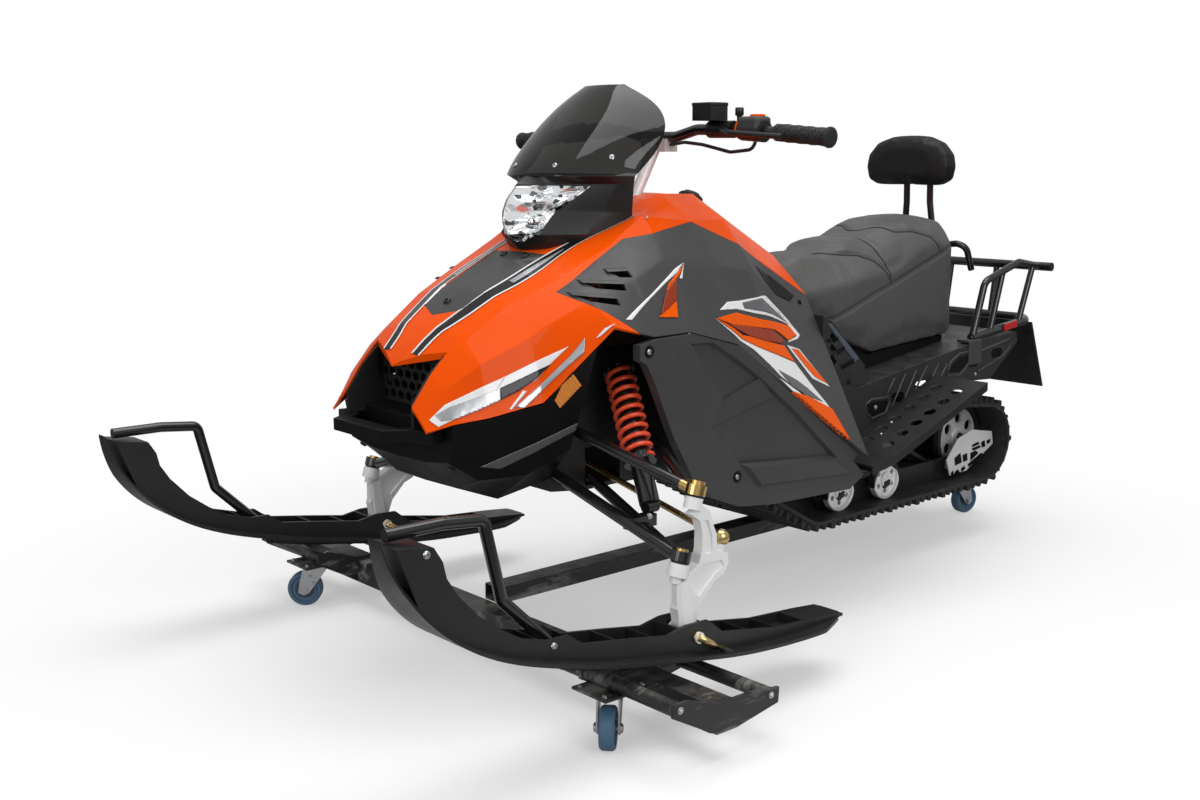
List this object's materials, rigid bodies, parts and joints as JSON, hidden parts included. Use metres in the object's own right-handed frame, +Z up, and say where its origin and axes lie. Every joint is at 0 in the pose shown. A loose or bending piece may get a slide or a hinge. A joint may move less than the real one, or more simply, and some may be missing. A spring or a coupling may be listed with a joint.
{
  "type": "snowmobile on a wheeled dolly",
  "caption": "Light utility snowmobile with two steered skis, a lugged rubber track, coil-sprung front arms and a rear rack, standing on a wheeled shop dolly.",
  "frame": {"origin": "on the floor under the middle of the whole box", "axes": "-Y is forwards, +X is the rider's left, +Z is up"},
  "size_m": [1.322, 2.234, 1.107],
  "materials": {
    "dolly_paint": "worn satin black",
    "caster_steel": "zinc plated",
    "caster_tyre": "blue rubber",
    "black_plastic": "moulded, satin",
    "gloss_tube": "gloss black powder coat",
    "cast_aluminium": "cast, bright",
    "plated_steel": "yellow zinc",
    "frame_paint": "satin black",
    "spring_red": "gloss red",
    "track_rubber": "moulded rubber",
    "wheel_silver": "plated steel discs with rubber rims",
    "dark_panel": "textured dark grey",
    "orange_gloss": "high gloss",
    "lamp_clear": "clear lens with chrome inside",
    "smoke_screen": "smoked",
    "seat_leather": "dark grained vinyl",
    "grip_rubber": "patterned rubber",
    "engine_grey": null,
    "flap_rubber": "flexible sheet",
    "cable_rubber": "smooth cable cover",
    "white_plates": "white coated, dirty",
    "amber_lens": "clear amber",
    "red_lens": "clear red, prismatic inside"
  },
  "bodies": {
    "chassis": {"dolly_crossbar": "dolly_paint", "dolly_rail": "dolly_paint", "ski_cradles": "dolly_paint", "caster_plates": "dolly_paint", "tunnel": "frame_paint", "running_boards": "black_plastic", "rear_rack": "gloss_tube", "mud_flap": "flap_rubber", "seat": "seat_leather", "seat_base": "black_plastic", "backrest_pad": "seat_leather", "backrest_frame": "gloss_tube", "hood": "orange_gloss", "hood_insert": "dark_panel", "upper_side_panels": "dark_panel", "tank_cowl": "orange_gloss", "lower_side_panels": "black_plastic", "belly_pan": "black_plastic", "nose_bumper": "black_plastic", "grille": "black_plastic", "headlight": "lamp_clear", "headlight_pod": "black_plastic", "windscreen": "smoke_screen", "engine_block": "engine_grey", "front_subframe": "frame_paint", "lower_arms": "gloss_tube", "upper_arms": "gloss_tube", "shock_absorbers": "gloss_tube", "shock_springs": "spring_red", "track": "track_rubber", "slide_rails": "frame_paint", "rear_suspension": "frame_paint", "bogie_wheels": "wheel_silver", "rear_idlers": "wheel_silver", "drive_axle": "wheel_silver", "idler_plates": "white_plates", "knee_panels": "black_plastic", "fuel_cap": "black_plastic", "marker_lamps": "amber_lens", "side_reflectors": "red_lens"},
    "steering": {"handlebar": "gloss_tube", "grips": "grip_rubber", "steering_riser": "cast_aluminium", "controls": "black_plastic", "brake_cable": "cable_rubber"},
    "ski_left": {"ski_left": "black_plastic", "ski_loop_left": "gloss_tube", "spindle_left": "cast_aluminium"},
    "tie_rod_left": {"tie_rod_left": "plated_steel"},
    "ski_right": {"ski_right": "black_plastic", "ski_loop_right": "gloss_tube", "spindle_right": "cast_aluminium"},
    "tie_rod_right": {"tie_rod_right": "plated_steel"},
    "caster_fork_left": {"caster_fork_left": "caster_steel"},
    "caster_wheel_left": {"caster_wheel_left": "caster_tyre"},
    "caster_fork_right": {"caster_fork_right": "caster_steel"},
    "caster_wheel_right": {"caster_wheel_right": "caster_tyre"},
    "caster_fork_rear": {"caster_fork_rear": "caster_steel"},
    "caster_wheel_rear": {"caster_wheel_rear": "caster_tyre"}
  },
  "joints": [
    {"name": "handlebar_steer", "type": "hinge", "parent": "chassis", "child": "steering", "pos_m": [0, -0.098, 1.006], "axis": [0, 0.5, 0.866], "range_deg": [-35, 35]},
    {"name": "ski_left_steer", "type": "hinge", "parent": "chassis", "child": "ski_left", "pos_m": [0.49, -0.51, 0.295], "axis": [0, 0.3007, 0.9537], "range_deg": [-28, 28]},
    {"name": "tie_rod_left_ball", "type": "hinge", "parent": "ski_left", "child": "tie_rod_left", "pos_m": [0.49, -0.412, 0.31], "axis": [0, 0.3007, 0.9537], "range_deg": [-28, 28]},
    {"name": "ski_right_steer", "type": "hinge", "parent": "chassis", "child": "ski_right", "pos_m": [-0.49, -0.51, 0.295], "axis": [0, 0.3007, 0.9537], "range_deg": [-28, 28]},
    {"name": "tie_rod_right_ball", "type": "hinge", "parent": "ski_right", "child": "tie_rod_right", "pos_m": [-0.49, -0.412, 0.31], "axis": [0, 0.3007, 0.9537], "range_deg": [-28, 28]},
    {"name": "caster_left_swivel", "type": "hinge", "parent": "chassis", "child": "caster_fork_left", "pos_m": [0.484, -0.668, 0.09], "axis": [0, 0, 1], "continuous": true},
    {"name": "caster_left_spin", "type": "hinge", "parent": "caster_fork_left", "child": "caster_wheel_left", "pos_m": [0.50073, -0.68658, 0.0375], "axis": [0.7431, 0.6691, 0], "continuous": true},
    {"name": "caster_right_swivel", "type": "hinge", "parent": "chassis", "child": "caster_fork_right", "pos_m": [-0.484, -0.668, 0.09], "axis": [0, 0, 1], "continuous": true},
    {"name": "caster_right_spin", "type": "hinge", "parent": "caster_fork_right", "child": "caster_wheel_right", "pos_m": [-0.50073, -0.68658, 0.0375], "axis": [0.7431, -0.6691, 0], "continuous": true},
    {"name": "caster_rear_swivel", "type": "hinge", "parent": "chassis", "child": "caster_fork_rear", "pos_m": [0, 1.03, 0.09], "axis": [0, 0, 1], "continuous": true},
    {"name": "caster_rear_spin", "type": "hinge", "parent": "caster_fork_rear", "child": "caster_wheel_rear", "pos_m": [0.00434, 1.05462, 0.0375], "axis": [-0.9848, 0.1736, 0], "continuous": true}
  ],
  "couplings": [
    {"joint": "ski_left_steer", "follows": "handlebar_steer", "ratio": 0.8},
    {"joint": "tie_rod_left_ball", "follows": "handlebar_steer", "ratio": -0.8},
    {"joint": "ski_right_steer", "follows": "handlebar_steer", "ratio": 0.8},
    {"joint": "tie_rod_right_ball", "follows": "handlebar_steer", "ratio": -0.8}
  ]
}
